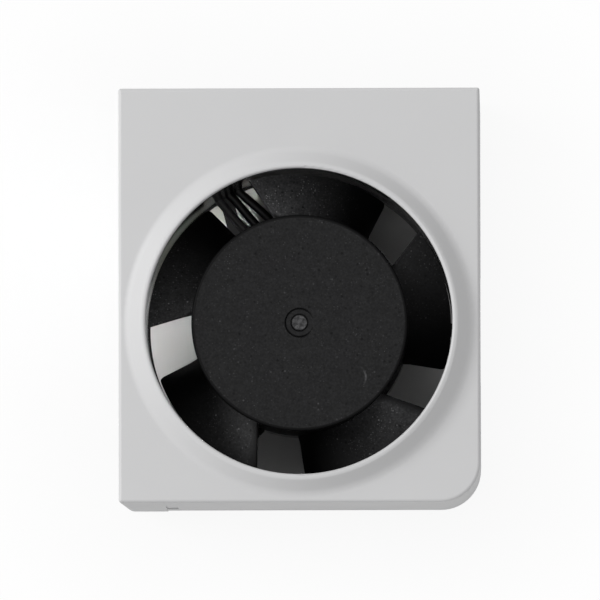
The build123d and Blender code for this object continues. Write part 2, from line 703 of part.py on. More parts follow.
# Leads: from the board across the air gap, out through the notch, up in the wiring bay and over into the plug
pins = (plug_x + PLUG_PITCH, plug_x, plug_x - PLUG_PITCH)
names = ("lead_positive", "lead_negative", "lead_signal")
for name, offset, pin in zip(names, lead_offsets, pins):
    riser = crossing(plug_y, offset)
    start = beside(LEAD_START, offset)
    loop = (pin - riser[0]) / 2 - LOOP_EASE
    loop_top = LEAD_LOOP_HEIGHT + loop
    stops = (
        (start[0], start[1], LEAD_HEIGHT),
        (riser[0], riser[1], LEAD_HEIGHT),
        (riser[0], riser[1], loop_top),
        (pin, plug_y, loop_top),
        (pin, plug_y, plug_top - LEAD_GRIP),
    )
    with BuildPart() as lead:
        with BuildLine(level(0)) as route:
            FilletPolyline(*stops, radius=[LEAD_BEND, loop, loop])
        with BuildSketch(Plane(origin=route.line @ 0, z_dir=route.line % 0)):
            Circle(LEAD_RADIUS)
        sweep(path=route.line)
    print(name, "bend", LEAD_BEND, "loop", round(loop, 2), "length", round(route.wires()[0].length, 1))
    lead.part.label = name
    export_step(lead.part, "parts/" + name + ".step")

# Plug housing: a block with a cavity for each contact at the rear and a lead hole at the front
with BuildPart() as plug_housing:
    with BuildSketch(level(PLUG_BOTTOM)):
        with Locations((plug_x, plug_y)):
            RectangleRounded(plug_width, PLUG_DEPTH, PLUG_EDGE)
    extrude(amount=PLUG_HEIGHT)
    with BuildSketch(level(PLUG_BOTTOM)):
        with Locations(*((pin, plug_y) for pin in pins)):
            Rectangle(CAVITY, CAVITY)
    extrude(amount=CAVITY_DEPTH, mode=Mode.SUBTRACT)
    with BuildSketch(level(plug_top)):
        with Locations(*((pin, plug_y) for pin in pins)):
            Circle(LEAD_RADIUS)
    extrude(amount=-PLUG_HEIGHT, mode=Mode.SUBTRACT)
plug_housing.part.label = "plug_housing"
export_step(plug_housing.part, "parts/plug_housing.step")

# Plug contacts: a square socket crimped to each lead
with BuildPart() as plug_contacts:
    with BuildSketch(level(PLUG_BOTTOM + CAVITY_DEPTH)):
        with Locations(*((pin, plug_y) for pin in pins)):
            Rectangle(CONTACT, CONTACT)
    extrude(amount=-CONTACT_LENGTH)
    with BuildSketch(level(PLUG_BOTTOM)):
        with Locations(*((pin, plug_y) for pin in pins)):
            Rectangle(CONTACT - 2 * CONTACT_WALL, CONTACT - 2 * CONTACT_WALL)
    extrude(amount=CONTACT_LENGTH - CONTACT, mode=Mode.SUBTRACT)
plug_contacts.part.label = "plug_contacts"
export_step(plug_contacts.part, "parts/plug_contacts.step")
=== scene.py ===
import bpy
import bmesh
from math import atan2, copysign, cos, exp, hypot, pi, radians, sin, sqrt
from mathutils import Matrix, Vector


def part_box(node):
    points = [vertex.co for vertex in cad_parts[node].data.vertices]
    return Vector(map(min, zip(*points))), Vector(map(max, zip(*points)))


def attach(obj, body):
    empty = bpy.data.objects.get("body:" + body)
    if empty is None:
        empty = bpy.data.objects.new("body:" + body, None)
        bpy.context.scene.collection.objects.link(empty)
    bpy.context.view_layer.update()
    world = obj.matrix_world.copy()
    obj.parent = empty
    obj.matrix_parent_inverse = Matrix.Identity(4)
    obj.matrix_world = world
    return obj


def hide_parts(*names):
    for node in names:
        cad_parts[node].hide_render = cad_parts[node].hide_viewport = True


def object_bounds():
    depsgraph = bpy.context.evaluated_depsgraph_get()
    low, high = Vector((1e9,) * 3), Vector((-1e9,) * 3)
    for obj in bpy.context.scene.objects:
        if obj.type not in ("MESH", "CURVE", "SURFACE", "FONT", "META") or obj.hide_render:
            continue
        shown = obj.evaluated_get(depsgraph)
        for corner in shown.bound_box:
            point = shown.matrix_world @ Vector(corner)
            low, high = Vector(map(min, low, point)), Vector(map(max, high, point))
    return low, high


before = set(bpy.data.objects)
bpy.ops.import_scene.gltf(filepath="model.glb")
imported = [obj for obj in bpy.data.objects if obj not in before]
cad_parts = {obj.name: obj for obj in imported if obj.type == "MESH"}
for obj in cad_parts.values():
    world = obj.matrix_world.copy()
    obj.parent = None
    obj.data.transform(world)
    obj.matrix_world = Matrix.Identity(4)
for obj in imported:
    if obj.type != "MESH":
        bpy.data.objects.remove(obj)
cad_low, cad_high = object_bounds()

# Housing: one injection moulding in light grey ABS, with the fine grain of a spark-eroded tool.
# It is open at the back, so the fan is pushed in from there and four barbs snap over its flange.
# Three of its corners are nearly sharp at the face and grow rounder towards the back.
MM = 0.001
FACE_HEIGHT = 26.5 * MM
SOLID_CORNER = 1.0 * MM
FACE_CORNER = 0.35 * MM
REAR_CORNER = 1.8 * MM
LEAST_CORNER = 0.02 * MM
HOUSING_GREY = (0.612, 0.612, 0.616, 1.0)
HOUSING_GREY_WORN = (0.592, 0.592, 0.597, 1.0)
HOUSING_MOTTLE = 9.0 * MM
HOUSING_ROUGHNESS = (0.46, 0.54)
HOUSING_SPECULAR = 0.35
HOUSING_GRAIN = 0.20 * MM
HOUSING_GRAIN_DEPTH = 0.008 * MM
EVEN = (1.0, 1.0, 1.0)
GRAIN_DETAIL = 2.0
MOTTLE_DETAIL = 4.0
MIX_SHARE = 0
MIX_FIRST = 6
MIX_SECOND = 7
MIX_RESULT = 2
SHARP_EDGE = radians(28.0)
SAME_PLANE = radians(0.05)
SAME_POINT = 0.002 * MM
NO_LENGTH = 0.001 * MM


def shader_of(finish):
    return finish.node_tree.nodes["Principled BSDF"]


def new_finish(name, colour, roughness, metallic, specular):
    finish = bpy.data.materials.new(name)
    finish.use_nodes = True
    shader = shader_of(finish)
    shader.inputs["Base Color"].default_value = colour
    shader.inputs["Roughness"].default_value = roughness
    shader.inputs["Metallic"].default_value = metallic
    shader.inputs["Specular IOR Level"].default_value = specular
    return finish


def add_node(finish, kind, values):
    node = finish.node_tree.nodes.new(kind)
    for socket, value in values.items():
        node.inputs[socket].default_value = value
    return node


def tie(source, output, target, socket):
    source.id_data.links.new(source.outputs[output], target.inputs[socket])


def noise_on(finish, size, detail, stretch=EVEN):
    place = add_node(finish, "ShaderNodeTexCoord", {})
    turn = add_node(finish, "ShaderNodeMapping", {"Scale": stretch})
    noise = add_node(finish, "ShaderNodeTexNoise", {"Scale": 1.0 / size, "Detail": detail})
    tie(place, "Object", turn, "Vector")
    tie(turn, "Vector", noise, "Vector")
    return noise


def ranged(finish, source, output, span, result):
    values = {"From Min": span[0], "From Max": span[1], "To Min": result[0], "To Max": result[1]}
    node = add_node(finish, "ShaderNodeMapRange", values)
    tie(source, output, node, "Value")
    return node


def colour_mix(finish):
    mix = finish.node_tree.nodes.new("ShaderNodeMix")
    mix.data_type = "RGBA"
    return mix


def mottled(name, first, second, patch, roughness, metallic=0.0, specular=0.5):
    finish = new_finish(name, first, sum(roughness) / 2, metallic, specular)
    noise = noise_on(finish, patch, MOTTLE_DETAIL)
    mottle = colour_mix(finish)
    mottle.name = "mottle"
    mottle.inputs[MIX_FIRST].default_value = first
    mottle.inputs[MIX_SECOND].default_value = second
    tie(noise, "Fac", mottle, MIX_SHARE)
    tie(mottle, MIX_RESULT, shader_of(finish), "Base Color")
    gloss = ranged(finish, noise, "Fac", (0.0, 1.0), roughness)
    tie(gloss, "Result", shader_of(finish), "Roughness")
    return finish


def add_grain(finish, size, depth, stretch=EVEN):
    noise = noise_on(finish, size, GRAIN_DETAIL, stretch)
    bump = add_node(finish, "ShaderNodeBump", {"Distance": depth, "Strength": 1.0})
    tie(noise, "Fac", bump, "Height")
    tie(bump, "Normal", shader_of(finish), "Normal")


def flat_patches(work):
    patch_of = {}
    patches = []
    for seed in work.faces:
        if seed in patch_of:
            continue
        area = 0.0
        waiting = [seed]
        patch_of[seed] = len(patches)
        while waiting:
            face = waiting.pop()
            area += face.calc_area()
            for edge in face.edges:
                for other in edge.link_faces:
                    if other not in patch_of and seed.normal.angle(other.normal, pi) < SAME_PLANE:
                        patch_of[other] = len(patches)
                        waiting.append(other)
        patches.append((area, seed.normal.copy()))
    return patch_of, patches


def faces_across(vert, face):
    for edge in face.edges:
        if vert in edge.verts and edge.calc_face_angle(pi) <= SHARP_EDGE:
            yield from edge.link_faces


def crisp_normals(mesh):
    work = bmesh.new()
    work.from_mesh(mesh)
    work.normal_update()
    patch_of, patches = flat_patches(work)
    corner_normal = {}
    for vert in work.verts:
        left = set(vert.link_faces)
        while left:
            group = [left.pop()]
            for face in group:
                for other in faces_across(vert, face):
                    if other in left:
                        left.discard(other)
                        group.append(other)
            total = Vector((0.0, 0.0, 0.0))
            for patch in sorted({patch_of[face] for face in group}):
                area, normal = patches[patch]
                total += area * normal
            for face in group:
                corner_normal[(face.index, vert.index)] = total.normalized()
    normals = []
    for face in work.faces:
        normals += [corner_normal[(face.index, vert.index)] for vert in face.verts]
    work.free()
    mesh.polygons.foreach_set("use_smooth", [True] * len(mesh.polygons))
    mesh.normals_split_custom_set(normals)


def new_piece(mesh, name, finish, body, stands_for):
    mesh.name = name
    mesh.materials.clear()
    mesh.materials.append(finish)
    crisp_normals(mesh)
    piece = bpy.data.objects.new(name, mesh)
    bpy.context.scene.collection.objects.link(piece)
    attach(piece, body)
    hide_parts(*stands_for)


def merged_copy(node):
    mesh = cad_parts[node].data.copy()
    work = bmesh.new()
    work.from_mesh(mesh)
    bmesh.ops.remove_doubles(work, verts=work.verts, dist=SAME_POINT)
    bmesh.ops.dissolve_degenerate(work, edges=work.edges, dist=NO_LENGTH)
    work.to_mesh(mesh)
    work.free()
    return mesh


def tapered_corners(mesh):
    for vert in mesh.vertices:
        inside_x = SOLID_CORNER - cad_high[0] + abs(vert.co.x)
        inside_y = SOLID_CORNER - cad_high[1] + abs(vert.co.y)
        if min(inside_x, inside_y) < -SAME_POINT or vert.co.x > 0.0 > vert.co.y:
            continue
        turn = atan2(inside_y, inside_x)
        inset = SOLID_CORNER - hypot(inside_x, inside_y)
        behind_face = max(0.0, 1.0 - vert.co.z / FACE_HEIGHT)
        corner = FACE_CORNER + (REAR_CORNER - FACE_CORNER) * behind_face
        radius = max(LEAST_CORNER, corner - inset)
        vert.co.x = copysign(cad_high[0] - inset - radius * (1 - cos(turn)), vert.co.x)
        vert.co.y = copysign(cad_high[1] - inset - radius * (1 - sin(turn)), vert.co.y)
    return mesh


housing_plastic = mottled(
    "light grey moulded plastic", HOUSING_GREY, HOUSING_GREY_WORN,
    HOUSING_MOTTLE, HOUSING_ROUGHNESS, specular=HOUSING_SPECULAR,
)
add_grain(housing_plastic, HOUSING_GRAIN, HOUSING_GRAIN_DEPTH)
new_piece(
    tapered_corners(merged_copy("housing")), "housing_shell", housing_plastic,
    "cassette", ["housing"],
)

# Fan frame: black glass-filled plastic, moulded in one with its duct, struts, motor base and bearing tube.
# It is a bought-in fan body that fits the housing with a little play on every side.
# A narrow ledge runs round the rear edge of the duct.
AXIS_Y = -4.0 * MM
DUCT_RADIUS = 23.1 * MM
LEDGE_WIDTH = 0.28 * MM
LEDGE_HEIGHT = 0.9 * MM
LEDGE_ROOT = 0.1 * MM
LEDGE_LIFT = 0.05 * MM
ROUND_STEPS = 144
FRAME_BLACK = (0.012, 0.012, 0.0125, 1.0)
FRAME_BLACK_DULL = (0.016, 0.016, 0.0165, 1.0)
FRAME_MOTTLE = 4.0 * MM
FRAME_ROUGHNESS = (0.10, 0.15)
FRAME_SPECULAR = 0.35
FRAME_GRAIN = 0.15 * MM
FRAME_GRAIN_DEPTH = 0.0005 * MM


def ring_of(work, radius, height, steps, middle=(0.0, 0.0)):
    ring = []
    for step in range(steps):
        turn = 2 * pi * step / steps
        spot = (middle[0] + radius * cos(turn), middle[1] + radius * sin(turn), height)
        ring.append(work.verts.new(spot))
    return ring


def join_rings(work, first, second):
    faces = []
    for step in range(len(first)):
        after = (step + 1) % len(first)
        faces.append(work.faces.new((first[step], first[after], second[after], second[step])))
    return faces


def ledged(mesh):
    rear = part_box("fan_frame")[0][2] + LEDGE_LIFT
    front = rear + LEDGE_HEIGHT
    outer = DUCT_RADIUS + LEDGE_ROOT
    inner = DUCT_RADIUS - LEDGE_WIDTH
    outline = [(outer, rear), (outer, front), (inner, front), (inner, rear)]
    work = bmesh.new()
    work.from_mesh(mesh)
    rings = [ring_of(work, radius, height, ROUND_STEPS, (0.0, AXIS_Y)) for radius, height in outline]
    ledge = []
    for first, second in zip(rings, rings[1:] + rings[:1]):
        ledge += join_rings(work, first, second)
    bmesh.ops.recalc_face_normals(work, faces=ledge)
    work.to_mesh(mesh)
    work.free()
    return mesh


frame_plastic = mottled(
    "black frame plastic", FRAME_BLACK, FRAME_BLACK_DULL,
    FRAME_MOTTLE, FRAME_ROUGHNESS, specular=FRAME_SPECULAR,
)
add_grain(frame_plastic, FRAME_GRAIN, FRAME_GRAIN_DEPTH)
new_piece(
    ledged(merged_copy("fan_frame")), "fan_body", frame_plastic,
    "cassette", ["fan_frame"],
)

# Fan wheel: hub cup and five blades moulded as one in black plastic, dusty where the air strikes first.
# The hub carries a gate pip in its middle and the round mark of a mould insert near its edge.
# Painted shade: the gate groove, the hub's rounded edge and the blades' front edges stay black; a painted
# highlight lights the insert mark's right side.
HUB_RADIUS = 16.2 * MM
HUB_BORE = 15.0 * MM
HUB_REAR = 9.8 * MM
HUB_FRONT = 23.9 * MM
HUB_ROOF = 22.4 * MM
HUB_ROUND = 0.4 * MM
EDGE_SHADE = 0.12 * MM
BOSS_RADIUS = 2.3 * MM
BOSS_BORE = 1.5 * MM
BOSS_REAR = 20.0 * MM
BOSS_END = 22.8 * MM
HAIR = 0.01 * MM
SMALL_STEPS = 48
GATE_OUTER = 2.28 * MM
GATE_INNER = 1.05 * MM
GATE_DEPTH = 0.26 * MM
GATE_LINE = 0.34 * MM
GATE_LAND = 0.03 * MM
GATE_SHADE = 0.04 * MM
GATE_FILLED = 0.92
PIP_RINGS = (0.78, 0.52, 0.26)
PIP_DEPTH = 0.05 * MM
PIP_LUMP = 0.05 * MM
PIP_LUMP_IN = (3.1, 9.0)
PIP_LUMP_ROUND = (0.9, 4.0)
PIP_FILM = 5.0
PIP_FILM_SWING = 3.0
PIP_FILM_WAVES = ((3700.0, 2220.0, 1.3), (-2040.0, 5100.0, 0.7))
INSERT_RADIUS = 2.0 * MM
INSERT_DEPTH = 0.05 * MM
INSERT_EDGE = 0.14 * MM
INSERT_OFFSET = 11.4 * MM
INSERT_ANGLE = radians(-45.7)
INSERT_MIDDLE = (INSERT_OFFSET * cos(INSERT_ANGLE), INSERT_OFFSET * sin(INSERT_ANGLE))
# Painted shade and highlight on the insert ring: a film share a little below the face's, and a painted
# glint towards its right side.
INSERT_SHADED_SHARE = 0.85
INSERT_GLINT = 4.0
INSERT_GLINT_ANGLE = radians(5.0)
INSERT_GLINT_POWER = 6
BLADE_COUNT = 5
BLADE_FRONT = 23.0 * MM
BLADE_REAR = 10.4 * MM
BLADE_HALF = 0.5 * MM
BLADE_CAMBER = 1.7 * MM
BLADE_TIP = 22.6 * MM
BLADE_ROOT = 15.6 * MM
BLADE_FLARE = 0.35 * MM
FLARE_REACH = 0.4 * MM
CORNER_ROUND = 0.8 * MM
ROOT_SINK = 1.2 * MM
LEADING_HUB = radians(104.0)
LEADING_TIP = radians(109.9)
TRAILING_HUB = radians(52.2)
TRAILING_TIP = radians(55.2)
BLADE_MIDDLE = (LEADING_HUB + TRAILING_HUB) / 2
THIN_SHARE = 0.62
THICK_START = 0.1
THICK_RATE = 0.75
CHORD_STEPS = 26
EDGE_STEPS = 6
SPAN_STEPS = 14
SPAN_CROWDING = 1.8
WHEEL_BLACK = (0.0030, 0.0030, 0.0032, 1.0)
WHEEL_BLACK_DULL = (0.0055, 0.0055, 0.0058, 1.0)
WHEEL_MOTTLE = 0.5 * MM
WHEEL_ROUGHNESS = (0.5, 0.66)
WHEEL_SPECULAR = 0.12
WHEEL_GRAIN = 0.18 * MM
WHEEL_GRAIN_DEPTH = 0.006 * MM
DUST_AND_HIGHLIGHT_GREY = (0.30, 0.30, 0.308, 1.0)
HUB_SPECKS = 0.5
SPECK_CORE = 0.3
FILM_START = 0.40
FILM_RATE = 4.0
SPECKS_START = 0.30
SPECKS_RATE = 3.0
# Pale film share per blade: most on the top blade, least on the right one.
BLADE_PALENESS = (1.95, 1.05, 0.8, 1.1, 0.42)
# Painted shade: each blade's front edge is kept free of film and specks over its own width, so it shows
# black.
BLADE_SHADED_EDGE = (0.05 * MM, 0.05 * MM, 0.4 * MM, 0.4 * MM, 0.15 * MM)
SHADED_EDGE_START = 0.3


def ring_edges(work, ring):
    edges = []
    for pair in zip(ring, ring[1:] + ring[:1]):
        edges.append(work.edges.get(pair) or work.edges.new(pair))
    return edges


def mark(mesh, name, amount_at):
    layer = mesh.attributes.new(name, "FLOAT", "POINT")
    layer.data.foreach_set("value", [amount_at(vert.co) for vert in mesh.vertices])


def pip_film(place):
    swing = PIP_FILM_SWING
    for along_x, along_y, start in PIP_FILM_WAVES:
        swing *= sin(along_x * place.x + along_y * place.y + start)
    return PIP_FILM + swing


def hub_dust_and_painted_light(place):
    out = hypot(place.x, place.y)
    if out < GATE_INNER + HAIR:
        return pip_film(place)
    # Painted shade: the gate groove gets no dust film, so it stays a darker black than the face.
    if place.z < HUB_FRONT - GATE_SHADE and out < GATE_OUTER:
        return 0.0
    side_x = place.x - INSERT_MIDDLE[0]
    side_y = place.y - INSERT_MIDDLE[1]
    from_edge = hypot(side_x, side_y) - INSERT_RADIUS
    # Painted shade and highlight: the insert ring is a little darker than the face, and a painted highlight
    # brightens its right side.
    if -INSERT_EDGE - HAIR < from_edge < HAIR:
        facing = max(0.0, cos(atan2(side_y, side_x) - INSERT_GLINT_ANGLE))
        return INSERT_SHADED_SHARE + INSERT_GLINT * facing ** INSERT_GLINT_POWER
    # Painted shade: the hub's rounded edge and side get no dust film, so a black line runs round the face.
    return 1.0 if out < HUB_RADIUS - HUB_ROUND - HAIR else 0.0


def hub_specks(place):
    return HUB_SPECKS if place.z > HUB_FRONT - HAIR else 0.0


def cup_chain(work):
    outline = [(BOSS_BORE, BOSS_END), (BOSS_BORE, BOSS_REAR), (BOSS_RADIUS, BOSS_REAR)]
    outline += [(BOSS_RADIUS, HUB_ROOF), (HUB_BORE, HUB_ROOF)]
    outline += [(HUB_BORE, HUB_REAR), (HUB_RADIUS, HUB_REAR), (HUB_RADIUS, HUB_FRONT - HUB_ROUND)]
    for step in range(1, EDGE_STEPS + 1):
        turn = pi / 2 * step / EDGE_STEPS
        outline.append((HUB_RADIUS - HUB_ROUND * (1 - cos(turn)), HUB_FRONT - HUB_ROUND * (1 - sin(turn))))
    outline.append((HUB_RADIUS - HUB_ROUND - EDGE_SHADE, HUB_FRONT))
    return [ring_of(work, radius, height, ROUND_STEPS) for radius, height in outline]


def gate_chain(work):
    outline = [(GATE_OUTER, 0.0), (GATE_OUTER - GATE_LINE / 2, GATE_DEPTH)]
    outline += [(GATE_OUTER - GATE_LINE, GATE_LAND), (GATE_INNER + GATE_LINE, GATE_LAND)]
    outline += [(GATE_INNER + GATE_LINE / 2, GATE_DEPTH), (GATE_INNER, 0.0)]
    rings = [ring_of(work, radius, HUB_FRONT - depth, SMALL_STEPS) for radius, depth in outline]
    for step, vert in enumerate(rings[1]):
        vert.co.z += GATE_FILLED * GATE_DEPTH * max(0.0, cos(2 * pi * step / SMALL_STEPS)) ** 2
    for share in PIP_RINGS:
        ring = ring_of(work, GATE_INNER * share, HUB_FRONT - PIP_DEPTH, SMALL_STEPS)
        for step, vert in enumerate(ring):
            lump_in = sin(PIP_LUMP_IN[0] * step * share + PIP_LUMP_IN[1] * share)
            lump_round = cos(PIP_LUMP_ROUND[0] * step + PIP_LUMP_ROUND[1] * share)
            vert.co.z += PIP_LUMP * lump_in * lump_round
        rings.append(ring)
    return rings


def insert_chain(work):
    inner = INSERT_RADIUS - INSERT_EDGE
    outline = [(INSERT_RADIUS + EDGE_SHADE, 0.0), (INSERT_RADIUS, 0.0)]
    outline += [(inner, INSERT_DEPTH), (inner - EDGE_SHADE, INSERT_DEPTH)]
    return [
        ring_of(work, radius, HUB_FRONT - depth, SMALL_STEPS, INSERT_MIDDLE) for radius, depth in outline
    ]


def hub_mesh():
    work = bmesh.new()
    cup = cup_chain(work)
    gate = gate_chain(work)
    insert = insert_chain(work)
    for chain in (cup, gate, insert):
        for first, second in zip(chain, chain[1:]):
            join_rings(work, first, second)
    work.faces.new(list(reversed(cup[0])))
    work.faces.new(gate[-1])
    work.faces.new(insert[-1])
    borders = ring_edges(work, cup[-1]) + ring_edges(work, gate[0]) + ring_edges(work, insert[0])
    bmesh.ops.triangle_fill(work, use_beauty=True, edges=borders)
    bmesh.ops.recalc_face_normals(work, faces=work.faces)
    mesh = bpy.data.meshes.new("hub")
    work.to_mesh(mesh)
    work.free()
    mark(mesh, "dust_and_painted_light", hub_dust_and_painted_light)
    mark(mesh, "specks", hub_specks)
    return mesh


def blade_edge(distance, hub_angle, tip_angle):
    hub = hub_angle - BLADE_MIDDLE
    tip = tip_angle - BLADE_MIDDLE
    run = BLADE_TIP * cos(tip) - HUB_RADIUS * cos(hub)
    rise = (BLADE_TIP * sin(tip) - HUB_RADIUS * sin(hub)) / run
    return HUB_RADIUS * sin(hub) + (distance - HUB_RADIUS * cos(hub)) * rise


def camber_arc(distance):
    leading_x = blade_edge(distance, LEADING_HUB, LEADING_TIP) - BLADE_HALF
    trailing_x = blade_edge(distance, TRAILING_HUB, TRAILING_TIP) + BLADE_HALF
    leading = Vector((leading_x, BLADE_FRONT - BLADE_HALF))
    trailing = Vector((trailing_x, BLADE_REAR + BLADE_HALF))
    crown = (leading + trailing) / 2 + Vector((-BLADE_CAMBER / 2, BLADE_CAMBER))
    first = crown - trailing
    second = leading - trailing
    twice_area = 2 * (first.x * second.y - first.y * second.x)
    centre = trailing + Vector((
        (second.y * first.length_squared - first.y * second.length_squared) / twice_area,
        (first.x * second.length_squared - second.x * first.length_squared) / twice_area,
    ))
    start = atan2(trailing.y - centre.y, trailing.x - centre.x)
    sweep = atan2(leading.y - centre.y, leading.x - centre.x) - start
    return centre, (trailing - centre).length, start, (sweep + pi) % (2 * pi) - pi


def blade_point(arcs, near, far, share, side, span):
    ends = []
    for centre, radius, start, sweep in arcs:
        turn = start + sweep * share
        ends.append(centre + (radius + side) * Vector((cos(turn), sin(turn))))
    lift = ends[1] - ends[0]
    depth = far - near
    a = depth * depth + lift.x * lift.x
    b = 2 * (near * depth + ends[0].x * lift.x)
    c = near * near + ends[0].x * ends[0].x - span * span
    part = (sqrt(b * b - 4 * a * c) - b) / (2 * a)
    return Vector((near + part * depth, ends[0].x + part * lift.x, ends[0].y + part * lift.y))


def blade_outline(span, chord):
    over = max(0.0, span - (BLADE_TIP - CORNER_ROUND))
    cut = (CORNER_ROUND - sqrt(CORNER_ROUND ** 2 - over ** 2)) / chord
    thick = BLADE_HALF + BLADE_FLARE * exp(-max(0.0, span - HUB_RADIUS) / FLARE_REACH)
    upper = []
    for place in range(CHORD_STEPS + 1):
        along = cut + (1 - cut) * place / CHORD_STEPS
        swell = sin(pi * min(1.0, THICK_START + along * THICK_RATE))
        upper.append((along, thick * (THIN_SHARE + (1 - THIN_SHARE) * swell)))
    turns = [pi * place / EDGE_STEPS for place in range(1, EDGE_STEPS)]
    nose = upper[-1][1]
    tail = upper[0][1]
    outline = upper + [(1 + nose * sin(turn) / chord, nose * cos(turn)) for turn in turns]
    outline += [(along, -half) for along, half in reversed(upper)]
    return outline + [(cut - tail * sin(turn) / chord, -tail * cos(turn)) for turn in turns]


def blade_film(place):
    return FILM_RATE * max(0.0, (place.z - BLADE_REAR) / (BLADE_FRONT - BLADE_REAR) - FILM_START)


def blade_specks(place):
    return SPECKS_RATE * max(0.0, (place.z - BLADE_REAR) / (BLADE_FRONT - BLADE_REAR) - SPECKS_START)


def blade_mesh():
    near = HUB_RADIUS * cos((LEADING_HUB - TRAILING_HUB) / 2) - ROOT_SINK
    far = BLADE_TIP + 2 * BLADE_HALF
    arcs = (camber_arc(near), camber_arc(far))
    tip_radius, tip_sweep = arcs[1][1], arcs[1][3]
    work = bmesh.new()
    strips = []
    for step in range(SPAN_STEPS + 1):
        share = 1 - (1 - step / SPAN_STEPS) ** SPAN_CROWDING
        span = BLADE_ROOT + (BLADE_TIP - BLADE_ROOT) * share
        strip = []
        for along, half in blade_outline(span, abs(tip_radius * tip_sweep)):
            strip.append(work.verts.new(blade_point(arcs, near, far, along, half, span)))
        strips.append(strip)
    for first, second in zip(strips, strips[1:]):
        join_rings(work, first, second)
    work.faces.new(strips[0])
    work.faces.new(strips[-1])
    bmesh.ops.recalc_face_normals(work, faces=work.faces)
    mesh = bpy.data.meshes.new("blade")
    work.to_mesh(mesh)
    work.free()
    mesh.transform(Matrix.Rotation(BLADE_MIDDLE, 4, "Z"))
    mark(mesh, "dust_and_painted_light", blade_film)
    mark(mesh, "specks", blade_specks)
    return mesh


def blade_ring_tree():
    tree = bpy.data.node_groups.new("blade ring", "GeometryNodeTree")
    inputs = {"Hub": "Geometry", "Blade": "Object", "Blade count": "Int", "Fan axis": "Vector",
              "Finish": "Material"}
    for name, kind in inputs.items():
        tree.interface.new_socket(name, in_out="INPUT", socket_type="NodeSocket" + kind)
    tree.interface.new_socket("Wheel", in_out="OUTPUT", socket_type="NodeSocketGeometry")
    given = tree.nodes.new("NodeGroupInput")
    result = tree.nodes.new("NodeGroupOutput")
    blade = tree.nodes.new("GeometryNodeObjectInfo")
    places = tree.nodes.new("GeometryNodePoints")
    index = tree.nodes.new("GeometryNodeInputIndex")
    pitch = tree.nodes.new("ShaderNodeMath")
    pitch.operation = "DIVIDE"
    pitch.inputs[0].default_value = 2 * pi
    turn = tree.nodes.new("ShaderNodeMath")
    turn.operation = "MULTIPLY"
    about = tree.nodes.new("ShaderNodeCombineXYZ")
    rotation = tree.nodes.new("FunctionNodeEulerToRotation")
    copies = tree.nodes.new("GeometryNodeInstanceOnPoints")
    wheel = tree.nodes.new("GeometryNodeJoinGeometry")
    middle = tree.nodes.new("GeometryNodeTransform")
    real = tree.nodes.new("GeometryNodeRealizeInstances")
    paint = tree.nodes.new("GeometryNodeSetMaterial")
    tie(given, "Blade", blade, "Object")
    tie(given, "Blade count", places, "Count")
    tie(given, "Blade count", pitch, 1)
    tie(index, "Index", turn, 0)
    tie(pitch, "Value", turn, 1)
    tie(turn, "Value", about, "Z")
    tie(about, "Vector", rotation, "Euler")
    tie(places, "Points", copies, "Points")
    tie(blade, "Geometry", copies, "Instance")
    tie(rotation, "Rotation", copies, "Rotation")
    tie(given, "Hub", wheel, "Geometry")
    tie(copies, "Instances", wheel, "Geometry")
    tie(wheel, "Geometry", middle, "Geometry")
    tie(given, "Fan axis", middle, "Translation")
    tie(middle, "Geometry", real, "Geometry")
    tie(real, "Geometry", paint, "Geometry")
    tie(given, "Finish", paint, "Material")
    tie(paint, "Geometry", result, "Wheel")
    return tree


def grown(source, tree, values):
    grower = source.modifiers.new(tree.name, "NODES")
    grower.node_group = tree
    for socket in tree.interface.items_tree:
        if socket.in_out == "INPUT" and socket.name in values:
            grower[socket.identifier] = values[socket.name]
    source.update_tag()
    bpy.context.view_layer.update()
    graph = bpy.context.evaluated_depsgraph_get()
    evaluated = source.evaluated_get(graph)
    mesh = bpy.data.meshes.new_from_object(evaluated, preserve_all_data_layers=True, depsgraph=graph)
    bpy.data.objects.remove(source)
    return mesh


def math_step(finish, operation, first, second):
    node = finish.node_tree.nodes.new("ShaderNodeMath")
    node.operation = operation
    for slot, value in enumerate((first, second)):
        if isinstance(value, float):
            node.inputs[slot].default_value = value
        else:
            finish.node_tree.links.new(value, node.inputs[slot])
    return node.outputs["Value"]


def marked(finish, name):
    node = finish.node_tree.nodes.new("ShaderNodeAttribute")
    node.attribute_name = name
    return node.outputs["Fac"]


def drift(finish, size, detail, span, result):
    noise = noise_on(finish, size, detail)
    return ranged(finish, noise, "Fac", span, result).outputs["Result"]


def speck_layer(finish, cell, radius, chance, strength):
    place = add_node(finish, "ShaderNodeTexCoord", {})
    cells = add_node(finish, "ShaderNodeTexVoronoi", {"Scale": 1.0 / cell})
    tie(place, "Object", cells, "Vector")
    near = ranged(finish, cells, "Distance", (radius, radius * SPECK_CORE), (0.0, strength))
    draw = add_node(finish, "ShaderNodeSeparateColor", {})
    tie(cells, "Color", draw, "Color")
    kept = math_step(finish, "GREATER_THAN", draw.outputs["Red"], chance)
    sized = math_step(finish, "MULTIPLY", near.outputs["Result"], draw.outputs["Green"])
    return math_step(finish, "MULTIPLY", sized, kept)


